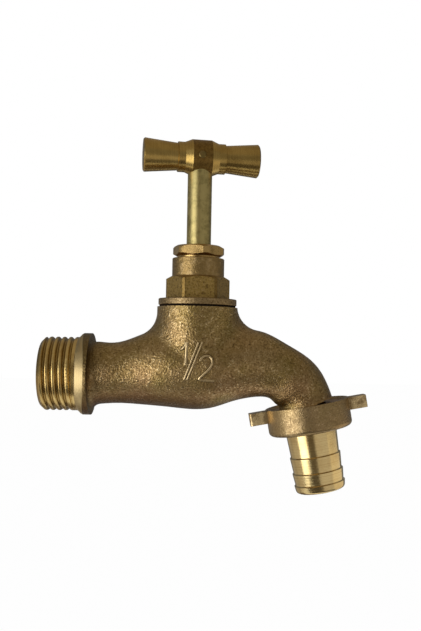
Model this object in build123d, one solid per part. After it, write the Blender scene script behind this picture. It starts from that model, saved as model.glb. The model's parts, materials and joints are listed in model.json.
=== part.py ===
from build123d import *
"""Brass tap with a tee handle and a union nut that holds a barbed hose tail.

Frame: millimetres, +Z up, +X from the inlet towards the spout, +Y away from the side that is seen.
The origin is on the inlet's axis, at the shoulder where the inlet thread ends.
Threads are plain cylinders at their major radius; each pair of threads keeps one running clearance.
"""
import os
from math import cos, radians, sin, sqrt, tan

# Pipe thread of the inlet and of the spout's nose (half-inch parallel pipe thread)
PIPE_THREAD_R = 20.955 / 2

# Fits
RUNNING = 0.1          # radial clearance of a part that turns or slides in another
SEATED = 0.03          # radial clearance of a part that is screwed or pressed home in its own body
FACE_GAP = 0.05        # gap between flat faces of parts that come apart

# Inlet
INLET_THREAD_LENGTH = 10.35
INLET_THREAD_LEAD = 1.1
COLLAR_STEP = 1.17
COLLAR_CHAMFER = 1.15
COLLAR_END_X = 3.5
COLLAR_FILLET = 3.0
NECK_STEP = 1.78
NECK_OVERLAP = 0.2
INLET_WALL = 4.28
COLLAR_R = PIPE_THREAD_R + COLLAR_STEP
NECK_R = PIPE_THREAD_R - NECK_STEP
INLET_BORE_R = PIPE_THREAD_R - INLET_WALL

# Valve chamber, from the seat's port out to the boss
SEAT_PORT_R = 4.75
SEAT_LAND = 1.1
SEAT_COVER = 1.55
SEAT_RING_HEIGHT = 0.8
VALVE_WASHER_STEP = 0.3
PLATE_CLEARANCE = 0.8
SKIRT_WALL = 1.8
CHAMBER_STEP = 0.9
BOSS_WALL = 2.3
CHAMBER_FLOOR_Z = 8.5
THROAT_R = 3.6
THROAT_PAST_CHAMBER = 2.2
VALVE_WASHER_R = SEAT_PORT_R + SEAT_COVER
JUMPER_PLATE_R = VALVE_WASHER_R + VALVE_WASHER_STEP
SKIRT_HOLLOW_R = JUMPER_PLATE_R + PLATE_CLEARANCE
BONNET_THREAD_R = SKIRT_HOLLOW_R + SKIRT_WALL
CHAMBER_R = BONNET_THREAD_R - CHAMBER_STEP
BOSS_R = BONNET_THREAD_R + BOSS_WALL

# Valve boss and belly
BOSS_X = 33.3
BOSS_DRAFT_ANGLE = 0.5
BOSS_TOP_Z = 19.65
BOSS_FILLET = 7.0
BELLY_HALF_HEIGHT = 12.0
BELLY_RISE = 2.35
BELLY_PROUD = 0.05
BELLY_END_LENGTH = 6.7
BELLY_END_RISE = 2.2
BELLY_END_FALL_ANGLE = 6.0
BELLY_END_SLIMMING = 0.85
BOSS_FOOT_R = BOSS_R + (BOSS_TOP_Z - BELLY_RISE) * tan(radians(BOSS_DRAFT_ANGLE))
BELLY_HALF_WIDTH = BOSS_FOOT_R + BELLY_PROUD

# Cast trunk before the belly: place along X, height of the centre, half height and half width
TRUNK_SECTIONS = [
    (COLLAR_END_X, 0.2, NECK_R, NECK_R),
    (7.5, 0.35, NECK_R + 0.05, NECK_R + 0.05),
    (12.0, 0.65, NECK_R + 0.15, NECK_R + 0.1),
    (BOSS_X - 15.5, 1.6, BELLY_HALF_HEIGHT - 1.9, BELLY_HALF_WIDTH - 2.1),
    (BOSS_X - 8.1, 2.35, BELLY_HALF_HEIGHT - 0.6, BELLY_HALF_WIDTH - 0.5),
]

# Spout; its turns are shares of the bend
OUTLET_REACH = 32.05
OUTLET_Z = -7.45
OUTLET_TILT_ANGLE = 10.5
SPOUT_FALL_ANGLE = 15.0
SPOUT_START_Z = 8.5
SPOUT_BEND_R = 15.0
SPOUT_ROOT_SLIMMING = 1.45
SPOUT_ROOT_SIDE_SLIMMING = 1.9
SPOUT_R = 8.05
SPOUT_FOOT_R = 8.65
SPOUT_FOOT_LEAN_ANGLE = 13.0
SPOUT_FOOT_OFFSET = 0.9
NOSE_WALL = 4.88
SPOUT_ROOT_BACK = 8.0
SPOUT_ROOT_DROP = 1.05
SPOUT_FIRST_SHARE = 0.1
SPOUT_SECOND_SHARE = 0.55
SPOUT_THIRD_SHARE = 0.85
SPOUT_THIRD_OFFSET = 0.25
SPOUT_THIRD_R = 7.95
SPOUT_RISE_AT_BEND = 0.1
NOSE_THREAD_START = 0.6
NOSE_LENGTH = 3.5
SPOUT_BORE_R = PIPE_THREAD_R - NOSE_WALL
OUTLET_X = BOSS_X + OUTLET_REACH

# Union nut, its washer and the hose tail, measured along the outlet from the nut's upper face
NUT_WALL = 1.57
NUT_EDGE = 1.3
NUT_MOUTH = 0.6
EAR_LENGTH = 5.0
EAR_WIDTH = 5.2
EAR_HEIGHT = 3.5
EAR_SET_BACK = 0.25
EAR_EDGE = 0.8
LIP_THICKNESS = 1.7
LIP_CLEARANCE = 0.45
HOSE_WASHER_THICKNESS = 1.2
HOSE_WASHER_CLEARANCE = 0.88
TAIL_FLANGE_THICKNESS = 1.4
TAIL_TOP_R = 7.4
TAIL_NOTCH_R = 7.05
TAIL_CREST_R = 7.4
TAIL_LENGTH = 17.5
TAIL_FIRST_BARB = 10.6
TAIL_SECOND_BARB = 6.0
TAIL_THIRD_BARB = 2.5
BARB_STEP = 0.3
TAIL_BORE_R = 5.2
TAIL_TIP_FILLET = 1.0
NUT_BORE_R = PIPE_THREAD_R + RUNNING
NUT_R = NUT_BORE_R + NUT_WALL
EAR_REACH = NUT_R + EAR_LENGTH
HOSE_WASHER_R = PIPE_THREAD_R - HOSE_WASHER_CLEARANCE
WASHER_START = NOSE_LENGTH + FACE_GAP
TAIL_START = WASHER_START + HOSE_WASHER_THICKNESS
LIP_START = TAIL_START + TAIL_FLANGE_THICKNESS + FACE_GAP
NUT_HEIGHT = LIP_START + LIP_THICKNESS
TAIL_END = NUT_HEIGHT + TAIL_LENGTH

# Stem, packing and bonnet
STEM_R = 3.5
PACKING_WALL = 2.0
GLAND_THREAD_STEP = 0.55
BOX_WALL = 1.4
SPINDLE_THREAD_STEP = 1.25
BONNET_WASHER_THICKNESS = 0.5
BONNET_WASHER_STEP = 0.6
FLANGE_STEP = 0.3
FLANGE_THICKNESS = 1.85
FLANGE_EDGE = 0.3
HEX_STEP = 0.65
HEX_CORNER_CUT = 0.23
HEX_ANGLE = 5.4
HEX_HEIGHT = 6.5
HEX_CHAMFER_ANGLE = 30.0
BOX_HEIGHT = 5.1
BOX_EDGE = 0.2
BOX_FLOOR = 1.0
BONNET_SKIRT = 5.5
SPINDLE_THREAD_LENGTH = 7.1
THREAD_LEAD = 0.4
SPINDLE_PITCH = 2.0
OPENING_TURNS = 2
OPEN_CLEARANCE = 0.35
PACKING_WASHER_THICKNESS = 0.8
PACKING_RING_HEIGHT = 1.0
GLAND_RING_THICKNESS = 0.8
PACKING_R = STEM_R + PACKING_WALL
GLAND_THREAD_R = PACKING_R + GLAND_THREAD_STEP
STUFFING_BOX_R = GLAND_THREAD_R + BOX_WALL
SPINDLE_THREAD_R = STEM_R + SPINDLE_THREAD_STEP
HEX_ACROSS_FLATS = 2 * (STUFFING_BOX_R + HEX_STEP)
HEX_CORNER_R = HEX_ACROSS_FLATS / sqrt(3) - HEX_CORNER_CUT
BONNET_WASHER_R = BOSS_R - BONNET_WASHER_STEP
FLANGE_R = BOSS_R - FLANGE_STEP

# Gland nut
GLAND_FLAT_STEP = 0.7
GLAND_CORNER_CUT = 0.42
GLAND_ANGLE = -12.0
GLAND_FACE_STEP = 0.55
GLAND_GAP = 0.55
GLAND_HEAD_HEIGHT = 3.1
GLAND_ACROSS_FLATS = 2 * (GLAND_THREAD_R + GLAND_FLAT_STEP)
GLAND_CORNER_R = GLAND_ACROSS_FLATS / sqrt(3) - GLAND_CORNER_CUT
GLAND_FACE_R = GLAND_ACROSS_FLATS / 2 - GLAND_FACE_STEP

# Valve
VALVE_WASHER_THICKNESS = 2.5
JUMPER_PLATE_THICKNESS = 1.6
JUMPER_STEM_R = 1.5
JUMPER_STEM_LENGTH = 5.5
VALVE_NUT_ACROSS_FLATS = 5.0
VALVE_NUT_HEIGHT = 1.6
STUD_END = 0.3

# Handle, measured along its bar from the hub's middle
STEM_LENGTH = 20.2
HANDLE_ANGLE = 9.0
HANDLE_OFFSET = 0.32
HANDLE_HALF_LENGTH = 16.63
HUB_WALL = 1.65
HUB_SHOULDER_STEP = 0.15
HUB_HALF_WIDTH = 2.8
HANDLE_END_STEP = 0.35
HANDLE_WAIST_STEP = 1.25
HANDLE_COLLAR_STEP = 0.85
HANDLE_COLLAR_OUT = 6.8
HANDLE_COLLAR_IN = 4.85
HANDLE_COLLAR_EDGE = 0.15
HANDLE_EDGE = 0.35
TENON_STEP = 1.1
TENON_LENGTH = 5.0
STEM_SOCKET_DEPTH = 1.6
PIN_R = 1.0
PIN_HEAD = 0.15
HUB_R = STEM_R + HUB_WALL
HANDLE_END_R = HUB_R - HANDLE_END_STEP
HANDLE_WAIST_R = HUB_R - HANDLE_WAIST_STEP
HANDLE_COLLAR_R = HUB_R - HANDLE_COLLAR_STEP
TENON_R = STEM_R - TENON_STEP

# Levels and places that follow from the sizes above
SEAT_Z = CHAMBER_FLOOR_Z + SEAT_RING_HEIGHT
FLANGE_BOTTOM_Z = BOSS_TOP_Z + BONNET_WASHER_THICKNESS
FLANGE_TOP_Z = FLANGE_BOTTOM_Z + FLANGE_THICKNESS
HEX_TOP_Z = FLANGE_TOP_Z + HEX_HEIGHT
STUFFING_BOX_TOP_Z = HEX_TOP_Z + BOX_HEIGHT
GLAND_HEAD_Z = STUFFING_BOX_TOP_Z + GLAND_GAP
GLAND_TOP_Z = GLAND_HEAD_Z + GLAND_HEAD_HEIGHT
HANDLE_Z = GLAND_TOP_Z + STEM_LENGTH + HUB_R
SKIRT_BOTTOM_Z = BOSS_TOP_Z - BONNET_SKIRT
WASHER_BOTTOM_Z = SEAT_Z + FACE_GAP
PLATE_BOTTOM_Z = WASHER_BOTTOM_Z + VALVE_WASHER_THICKNESS
PLATE_TOP_Z = PLATE_BOTTOM_Z + JUMPER_PLATE_THICKNESS
LIFT = SPINDLE_PITCH * OPENING_TURNS
SKIRT_HOLLOW_TOP_Z = PLATE_TOP_Z + LIFT + OPEN_CLEARANCE
SPINDLE_THREAD_TOP_Z = PLATE_TOP_Z + FACE_GAP + SPINDLE_THREAD_LENGTH
SPINDLE_THREAD_BORE_TOP_Z = SPINDLE_THREAD_TOP_Z + LIFT + 3 * RUNNING
PACKING_FLOOR_Z = SPINDLE_THREAD_BORE_TOP_Z + BOX_FLOOR
PACKING_RINGS_Z = PACKING_FLOOR_Z + PACKING_WASHER_THICKNESS
GLAND_RING_Z = PACKING_RINGS_Z + 3 * PACKING_RING_HEIGHT
GLAND_FOOT_Z = GLAND_RING_Z + GLAND_RING_THICKNESS
SPINDLE_AXIS = Location((BOSS_X, 0, 0))
HANDLE_PLACE = Location((BOSS_X, 0, HANDLE_Z), (0, 0, HANDLE_ANGLE))
OUTLET = Location((OUTLET_X, 0, OUTLET_Z), (0, 180 - OUTLET_TILT_ANGLE, 0))


def turned(points):
    """Solid turned about Z from a profile of (radius, height) points that is closed along the axis."""
    profile = Plane.XZ * make_face(Polyline(*points, close=True))
    return revolve(profile, Axis.Z)


def disc(radius, bottom, top):
    """Cylinder on Z between two heights."""
    return Pos(0, 0, bottom) * Cylinder(radius, top - bottom, align=(Align.CENTER, Align.CENTER, Align.MIN))


def ring(outer, inner, bottom, top):
    """Flat ring on Z between two heights."""
    return disc(outer, bottom, top) - disc(inner, bottom, top)


def hexagon(across_flats, bottom, top):
    """Hexagonal prism on Z with flats that face +Y and -Y."""
    outline = RegularPolygon(across_flats / 2, 6, major_radius=False)
    return Pos(0, 0, bottom) * extrude(outline, top - bottom)


def along_x(radius, start, end, height):
    """Cylinder along X between two places, at a height above the inlet's axis."""
    return Pos(start, 0, height) * Rot(0, 90, 0) * disc(radius, 0, end - start)


def spindle_place(piece):
    """Piece moved from the Z axis to the spindle's axis."""
    return SPINDLE_AXIS * piece


def outlet_place(piece):
    """Piece moved from the Z axis to the outlet's axis, with its +Z down the outlet."""
    return OUTLET * piece


def spout_spine():
    """Centre line of the spout's bore: a fall from the boss, a bend and the outlet's axis.

    The two straight stretches meet at the corner where the falling line crosses the outlet's axis.
    """
    fall_slope = tan(radians(SPOUT_FALL_ANGLE))
    outlet_slope = tan(radians(OUTLET_TILT_ANGLE))
    reach = OUTLET_X - BOSS_X - outlet_slope * OUTLET_Z
    corner_z = (SPOUT_START_Z - fall_slope * reach) / (1 - fall_slope * outlet_slope)
    corner = Vector(OUTLET_X - outlet_slope * (corner_z - OUTLET_Z), 0, corner_z)
    nose = Vector(OUTLET_X, 0, OUTLET_Z) + aim(OUTLET_TILT_ANGLE - 90) * NOSE_LENGTH
    root_x = BOSS_X + CHAMBER_R
    root = Vector(root_x, 0, SPOUT_START_Z - fall_slope * (root_x - BOSS_X))
    return FilletPolyline(root, corner, nose, radius=SPOUT_BEND_R)


def aim(angle):
    """Direction in the XZ plane at an angle above +X, in degrees."""
    return Vector(cos(radians(angle)), 0, sin(radians(angle)))


def across(direction):
    """Direction in the XZ plane that is square to another one and points up or outwards."""
    return Vector(-direction.Z, 0, direction.X)


def oval(centre, direction, half_height, half_width):
    """Upright oval section square to a direction in the XZ plane.

    It is a stretched circle, so that its seam stays at the same side whichever way it is longer.
    """
    plane = Plane(origin=centre, x_dir=(0, 1, 0), z_dir=direction)
    return plane * scale(Circle(1), by=(half_width, half_height, 1))


def tap_trunk():
    """Cast trunk from the inlet's neck through the belly to the foot of the spout."""
    bend = spout_spine().edges().filter_by(GeomType.CIRCLE)[0]
    level = aim(0)
    fall = aim(-SPOUT_FALL_ANGLE)
    out = aim(OUTLET_TILT_ANGLE - 90)
    foot = aim(OUTLET_TILT_ANGLE + SPOUT_FOOT_LEAN_ANGLE - 90)
    root = bend @ 0 - fall * SPOUT_ROOT_BACK - across(fall) * SPOUT_ROOT_DROP
    third = bend % SPOUT_THIRD_SHARE
    third_centre = bend @ SPOUT_THIRD_SHARE - across(third) * SPOUT_THIRD_OFFSET
    foot_centre = Vector(OUTLET_X, 0, OUTLET_Z) + out * NOSE_THREAD_START - across(foot) * SPOUT_FOOT_OFFSET
    sections = [oval(Vector(x, 0, rise), level, high, wide) for x, rise, high, wide in TRUNK_SECTIONS]
    belly_end = Vector(BOSS_X + BELLY_END_LENGTH, 0, BELLY_END_RISE)
    belly_end_high = BELLY_HALF_HEIGHT - BELLY_END_SLIMMING
    root_high = BELLY_HALF_HEIGHT - SPOUT_ROOT_SLIMMING
    root_wide = BELLY_HALF_WIDTH - SPOUT_ROOT_SIDE_SLIMMING
    sections += [
        oval(Vector(BOSS_X, 0, BELLY_RISE), level, BELLY_HALF_HEIGHT, BELLY_HALF_WIDTH),
        oval(belly_end, aim(-BELLY_END_FALL_ANGLE), belly_end_high, BELLY_HALF_WIDTH),
        oval(root, fall, root_high, root_wide),
        oval(bend @ SPOUT_FIRST_SHARE, bend % SPOUT_FIRST_SHARE, SPOUT_R + SPOUT_RISE_AT_BEND, SPOUT_R),
        oval(bend @ SPOUT_SECOND_SHARE, bend % SPOUT_SECOND_SHARE, SPOUT_R, SPOUT_R),
        oval(third_centre, third, SPOUT_THIRD_R, SPOUT_THIRD_R),
        oval(foot_centre, foot, SPOUT_FOOT_R, SPOUT_FOOT_R),
    ]
    return loft([section.face() for section in sections])


def inlet_end():
    """Threaded inlet with its collar, turned about the X axis."""
    neck_x = COLLAR_END_X + COLLAR_FILLET
    neck_r = NECK_R - NECK_OVERLAP
    with BuildSketch(Plane.XZ) as profile:
        with BuildLine():
            edge = Polyline(
                (neck_x, 0),
                (-INLET_THREAD_LENGTH, 0),
                (-INLET_THREAD_LENGTH, PIPE_THREAD_R - INLET_THREAD_LEAD),
                (-INLET_THREAD_LENGTH + INLET_THREAD_LEAD, PIPE_THREAD_R),
                (0, PIPE_THREAD_R),
                (COLLAR_CHAMFER, COLLAR_R),
                (COLLAR_END_X, COLLAR_R),
                (COLLAR_END_X, neck_r + COLLAR_FILLET),
            )
            fillet_arc = RadiusArc(edge @ 1, (neck_x, neck_r), -COLLAR_FILLET)
            Line(fillet_arc @ 1, (neck_x, 0))
        make_face()
    return revolve(profile.sketch, Axis.X)


def tap_waterway():
    """Space inside the body: inlet bore, seat port, valve chamber with the bonnet thread, and spout bore."""
    path = spout_spine()
    mouth = path.edges()[0]
    inlet_bore = along_x(INLET_BORE_R, -INLET_THREAD_LENGTH, BOSS_X, 0)
    throat = along_x(THROAT_R, BOSS_X, BOSS_X + CHAMBER_R + THROAT_PAST_CHAMBER, CHAMBER_FLOOR_Z + THROAT_R)
    spout_bore = sweep(Plane(origin=mouth @ 0, z_dir=mouth % 0) * Circle(SPOUT_BORE_R), path)
    port = disc(SEAT_PORT_R, 0, SEAT_Z)
    seat_moat = ring(CHAMBER_R, SEAT_PORT_R + SEAT_LAND, CHAMBER_FLOOR_Z, SEAT_Z)
    chamber = disc(CHAMBER_R, SEAT_Z, BOSS_TOP_Z)
    bonnet_hole = disc(BONNET_THREAD_R + SEATED, SKIRT_BOTTOM_Z - RUNNING, BOSS_TOP_Z)
    return inlet_bore + spindle_place(port + seat_moat + chamber + bonnet_hole) + throat + spout_bore


def tap_body():
    """Cast body with its turned ends."""
    boss = turned([(0, BELLY_RISE), (BOSS_FOOT_R, BELLY_RISE), (BOSS_R, BOSS_TOP_Z), (0, BOSS_TOP_Z)])
    shell = tap_trunk() + spindle_place(boss)
    seam = [edge for edge in shell.edges() if on_boss_seam(edge)]
    shell = fillet(seam, BOSS_FILLET)
    nose = outlet_place(disc(PIPE_THREAD_R, NOSE_THREAD_START, NOSE_LENGTH))
    shell = shell + inlet_end() + nose
    return shell - tap_waterway()


def on_boss_seam(edge):
    """True for an edge where the boss meets the cast trunk."""
    box = edge.bounding_box()
    reach = BOSS_FOOT_R + 1
    below_top = box.max.Z < SKIRT_BOTTOM_Z + BONNET_SKIRT / 2
    return below_top and box.min.X > BOSS_X - reach and box.max.X < BOSS_X + reach


def bonnet():
    """Bonnet: threaded skirt, round flange, hexagon with turned corners and the stuffing box."""
    hex_z = HEX_TOP_Z - (HEX_CORNER_R - STUFFING_BOX_R) * tan(radians(HEX_CHAMFER_ANGLE))
    skirt = disc(BONNET_THREAD_R, SKIRT_BOTTOM_Z, FLANGE_BOTTOM_Z)
    flange = disc(FLANGE_R, FLANGE_BOTTOM_Z, FLANGE_TOP_Z)
    flange = fillet(flange.edges().filter_by(GeomType.CIRCLE), FLANGE_EDGE)
    corners = turned([
        (0, FLANGE_BOTTOM_Z),
        (HEX_CORNER_R, FLANGE_BOTTOM_Z),
        (HEX_CORNER_R, hex_z),
        (STUFFING_BOX_R, HEX_TOP_Z),
        (0, HEX_TOP_Z),
    ])
    hexagon_block = Rot(0, 0, HEX_ANGLE) * hexagon(HEX_ACROSS_FLATS, FLANGE_TOP_Z, HEX_TOP_Z) & corners
    box = disc(STUFFING_BOX_R, HEX_TOP_Z, STUFFING_BOX_TOP_Z)
    box = chamfer(box.edges().sort_by(Axis.Z)[-1], BOX_EDGE)
    inside = turned([
        (0, SKIRT_BOTTOM_Z - 1),
        (SKIRT_HOLLOW_R, SKIRT_BOTTOM_Z - 1),
        (SKIRT_HOLLOW_R, SKIRT_HOLLOW_TOP_Z),
        (SPINDLE_THREAD_R + RUNNING, SKIRT_HOLLOW_TOP_Z),
        (SPINDLE_THREAD_R + RUNNING, SPINDLE_THREAD_BORE_TOP_Z),
        (STEM_R + RUNNING, SPINDLE_THREAD_BORE_TOP_Z),
        (STEM_R + RUNNING, PACKING_FLOOR_Z),
        (PACKING_R, PACKING_FLOOR_Z),
        (PACKING_R, GLAND_FOOT_Z),
        (GLAND_THREAD_R + SEATED, GLAND_FOOT_Z),
        (GLAND_THREAD_R + SEATED, STUFFING_BOX_TOP_Z + 1),
        (0, STUFFING_BOX_TOP_Z + 1),
    ])
    return spindle_place(skirt + flange + hexagon_block + box - inside)


def bonnet_washer():
    """Fibre washer under the bonnet's flange."""
    return spindle_place(ring(BONNET_WASHER_R, BONNET_THREAD_R + SEATED, BOSS_TOP_Z, FLANGE_BOTTOM_Z))


def packing_washer():
    """Brass washer on the floor of the stuffing box."""
    return spindle_place(ring(PACKING_R - SEATED, STEM_R + RUNNING, PACKING_FLOOR_Z, PACKING_RINGS_Z))


def packing_ring(index):
    """One ring of the spindle packing, counted from the bottom."""
    bottom = PACKING_RINGS_Z + index * PACKING_RING_HEIGHT
    return spindle_place(ring(PACKING_R - SEATED, STEM_R + RUNNING, bottom, bottom + PACKING_RING_HEIGHT))


def gland_ring():
    """Follower between the gland nut and the packing."""
    return spindle_place(ring(PACKING_R - SEATED, STEM_R + RUNNING, GLAND_RING_Z, GLAND_FOOT_Z))


def gland_nut():
    """Gland nut: threaded shank and a hexagon that is chamfered on both faces."""
    drop = (GLAND_CORNER_R - GLAND_FACE_R) * tan(radians(HEX_CHAMFER_ANGLE))
    corners = turned([
        (0, GLAND_HEAD_Z),
        (GLAND_FACE_R, GLAND_HEAD_Z),
        (GLAND_CORNER_R, GLAND_HEAD_Z + drop),
        (GLAND_CORNER_R, GLAND_TOP_Z - drop),
        (GLAND_FACE_R, GLAND_TOP_Z),
        (0, GLAND_TOP_Z),
    ])
    head = Rot(0, 0, GLAND_ANGLE) * hexagon(GLAND_ACROSS_FLATS, GLAND_HEAD_Z, GLAND_TOP_Z) & corners
    shank = disc(GLAND_THREAD_R, GLAND_FOOT_Z, GLAND_HEAD_Z)
    return spindle_place(head + shank - disc(STEM_R + RUNNING, GLAND_FOOT_Z, GLAND_TOP_Z))


def spindle():
    """Spindle: threaded foot with a socket for the jumper, plain stem, and a tenon for the handle's hub."""
    foot = PLATE_TOP_Z + FACE_GAP
    shoulder = HANDLE_Z - HUB_R + STEM_SOCKET_DEPTH
    body = turned([
        (0, foot),
        (SPINDLE_THREAD_R - THREAD_LEAD, foot),
        (SPINDLE_THREAD_R, foot + THREAD_LEAD),
        (SPINDLE_THREAD_R, SPINDLE_THREAD_TOP_Z - THREAD_LEAD),
        (SPINDLE_THREAD_R - THREAD_LEAD, SPINDLE_THREAD_TOP_Z),
        (STEM_R, SPINDLE_THREAD_TOP_Z),
        (STEM_R, shoulder),
        (TENON_R, shoulder),
        (TENON_R, shoulder + TENON_LENGTH),
        (0, shoulder + TENON_LENGTH),
    ])
    socket = disc(JUMPER_STEM_R + RUNNING, foot, foot + JUMPER_STEM_LENGTH + RUNNING)
    return spindle_place(body - socket) - handle_pin_hole()


def handle_pin_hole():
    """Cross hole through the hub and the tenon."""
    hole = Rot(90, 0, 0) * disc(PIN_R + SEATED, -2 * HUB_R, 2 * HUB_R)
    return HANDLE_PLACE * hole


def handle_pin():
    """Cross pin with both ends peened over."""
    reach = HUB_R + PIN_HEAD
    pin = disc(PIN_R, -reach, reach)
    pin = chamfer(pin.edges().filter_by(GeomType.CIRCLE), PIN_HEAD)
    return HANDLE_PLACE * (Rot(90, 0, 0) * pin)


def t_handle():
    """Tee handle turned about its own bar, with a bore for the spindle and a cross hole for the pin."""
    side = [
        (HUB_R, HUB_HALF_WIDTH),
        (HUB_R - HUB_SHOULDER_STEP, HUB_HALF_WIDTH + HANDLE_EDGE),
        (HANDLE_COLLAR_R, HANDLE_COLLAR_IN),
        (HANDLE_COLLAR_R, HANDLE_COLLAR_OUT),
        (HANDLE_WAIST_R, HANDLE_COLLAR_OUT + HANDLE_COLLAR_EDGE),
        (HANDLE_END_R, HANDLE_HALF_LENGTH - HANDLE_EDGE),
        (HANDLE_END_R - HANDLE_EDGE, HANDLE_HALF_LENGTH),
        (0, HANDLE_HALF_LENGTH),
    ]
    mirrored = [(radius, -height) for radius, height in reversed(side)]
    bar = Rot(0, 90, 0) * turned(mirrored + side)
    bar = Pos(HANDLE_OFFSET, 0, 0) * bar
    bore = disc(STEM_R + SEATED, -2 * HUB_R, STEM_SOCKET_DEPTH - HUB_R)
    bore += disc(TENON_R + SEATED, -HUB_R, STEM_SOCKET_DEPTH - HUB_R + TENON_LENGTH + SEATED)
    return HANDLE_PLACE * (bar - bore) - handle_pin_hole()


def valve_jumper():
    """Jumper: plate behind the washer, a stem up into the spindle and a stud down through the washer."""
    plate = disc(JUMPER_PLATE_R, PLATE_BOTTOM_Z, PLATE_TOP_Z)
    stem = disc(JUMPER_STEM_R, PLATE_TOP_Z, PLATE_TOP_Z + JUMPER_STEM_LENGTH)
    stud = disc(JUMPER_STEM_R, WASHER_BOTTOM_Z - VALVE_NUT_HEIGHT - STUD_END, PLATE_BOTTOM_Z)
    return spindle_place(plate + stem + stud)


def valve_washer():
    """Rubber washer that closes on the seat."""
    return spindle_place(ring(VALVE_WASHER_R, JUMPER_STEM_R + SEATED, WASHER_BOTTOM_Z, PLATE_BOTTOM_Z))


def valve_nut():
    """Small hexagon nut that holds the washer on the jumper."""
    nut = hexagon(VALVE_NUT_ACROSS_FLATS, WASHER_BOTTOM_Z - VALVE_NUT_HEIGHT, WASHER_BOTTOM_Z)
    return spindle_place(nut - disc(JUMPER_STEM_R + SEATED, 0, WASHER_BOTTOM_Z))


def union_nut():
    """Union nut: threaded ring, inner lip under the tail's flange, and two ears along X."""
    shell = disc(NUT_R, 0, NUT_HEIGHT)
    shell = fillet(shell.edges().filter_by(GeomType.CIRCLE).sort_by(Axis.Z)[-1], NUT_EDGE)
    ear = Pos(0, 0, EAR_SET_BACK + EAR_HEIGHT / 2) * Box(2 * EAR_REACH, EAR_WIDTH, EAR_HEIGHT)
    ear = fillet(ear.edges().filter_by(Axis.Z), EAR_EDGE)
    inside = turned([
        (0, -1),
        (NUT_BORE_R + NUT_MOUTH, -1),
        (NUT_BORE_R + NUT_MOUTH, 0),
        (NUT_BORE_R, NUT_MOUTH),
        (NUT_BORE_R, LIP_START),
        (TAIL_TOP_R + LIP_CLEARANCE, LIP_START),
        (TAIL_TOP_R + LIP_CLEARANCE, NUT_HEIGHT + 1),
        (0, NUT_HEIGHT + 1),
    ])
    return outlet_place(shell + ear - inside)


def hose_washer():
    """Flat washer between the nose and the hose tail."""
    return outlet_place(ring(HOSE_WASHER_R, SPOUT_BORE_R, WASHER_START, TAIL_START))


def hose_tail():
    """Turned hose tail: flange, plain taper and three shallow barbs that step out towards the nut."""
    flange_end = TAIL_START + TAIL_FLANGE_THICKNESS
    first, second, third = (TAIL_END - barb for barb in (TAIL_FIRST_BARB, TAIL_SECOND_BARB, TAIL_THIRD_BARB))
    outside = turned([
        (0, TAIL_START),
        (HOSE_WASHER_R, TAIL_START),
        (HOSE_WASHER_R, flange_end),
        (TAIL_TOP_R, flange_end),
        (TAIL_TOP_R, NUT_HEIGHT + BARB_STEP),
        (TAIL_NOTCH_R, first),
        (TAIL_CREST_R, first + BARB_STEP),
        (TAIL_NOTCH_R, second),
        (TAIL_CREST_R, second + BARB_STEP),
        (TAIL_NOTCH_R, third),
        (TAIL_CREST_R, third + BARB_STEP),
        (TAIL_NOTCH_R, TAIL_END),
        (0, TAIL_END),
    ])
    outside = fillet(outside.edges().filter_by(GeomType.CIRCLE).sort_by(Axis.Z)[-1], TAIL_TIP_FILLET)
    return outlet_place(outside - disc(TAIL_BORE_R, TAIL_START, TAIL_END))


NODES = {
    "tap_body": tap_body,
    "bonnet": bonnet,
    "bonnet_washer": bonnet_washer,
    "packing_washer": packing_washer,
    "packing_ring_bottom": lambda: packing_ring(0),
    "packing_ring_middle": lambda: packing_ring(1),
    "packing_ring_top": lambda: packing_ring(2),
    "gland_ring": gland_ring,
    "gland_nut": gland_nut,
    "spindle": spindle,
    "t_handle": t_handle,
    "handle_pin": handle_pin,
    "valve_jumper": valve_jumper,
    "valve_washer": valve_washer,
    "valve_nut": valve_nut,
    "union_nut": union_nut,
    "hose_tail": hose_tail,
    "hose_washer": hose_washer,
}

os.makedirs("parts", exist_ok=True)
for node, build in NODES.items():
    export_step(build(), f"parts/{node}.step")
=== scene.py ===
import json
import logging
import math
from dataclasses import dataclass, field
from enum import Enum
from typing import ClassVar, NamedTuple, Sequence

import bpy
from mathutils import Matrix, Vector

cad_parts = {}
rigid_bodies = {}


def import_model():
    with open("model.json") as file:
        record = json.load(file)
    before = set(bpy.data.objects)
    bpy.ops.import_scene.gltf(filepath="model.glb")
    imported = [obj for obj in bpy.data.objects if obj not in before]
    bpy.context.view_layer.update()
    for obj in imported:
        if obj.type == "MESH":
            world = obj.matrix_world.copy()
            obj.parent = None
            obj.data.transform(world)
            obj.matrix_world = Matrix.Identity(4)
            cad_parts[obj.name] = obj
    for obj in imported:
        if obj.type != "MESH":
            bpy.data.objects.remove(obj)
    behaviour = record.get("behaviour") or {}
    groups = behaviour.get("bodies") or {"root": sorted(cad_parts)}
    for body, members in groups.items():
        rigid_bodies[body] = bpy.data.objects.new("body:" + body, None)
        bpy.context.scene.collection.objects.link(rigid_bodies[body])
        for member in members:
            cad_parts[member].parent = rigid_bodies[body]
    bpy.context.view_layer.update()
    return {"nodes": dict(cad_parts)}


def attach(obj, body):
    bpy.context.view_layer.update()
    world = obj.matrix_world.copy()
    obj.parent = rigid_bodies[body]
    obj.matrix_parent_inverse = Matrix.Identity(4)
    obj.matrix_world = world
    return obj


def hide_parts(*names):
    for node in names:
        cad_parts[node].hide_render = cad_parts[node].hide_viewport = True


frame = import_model()

LOG = logging.getLogger("brass_tap")
MM = 0.001
MERGE_DISTANCE = 1e-6

Point = tuple[float, float, float]
Colour = tuple[float, float, float]
Range = tuple[float, float]
Piece = bpy.types.Object
Material = bpy.types.Material
Socket = bpy.types.NodeSocket
Value = Socket | float | Colour

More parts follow.
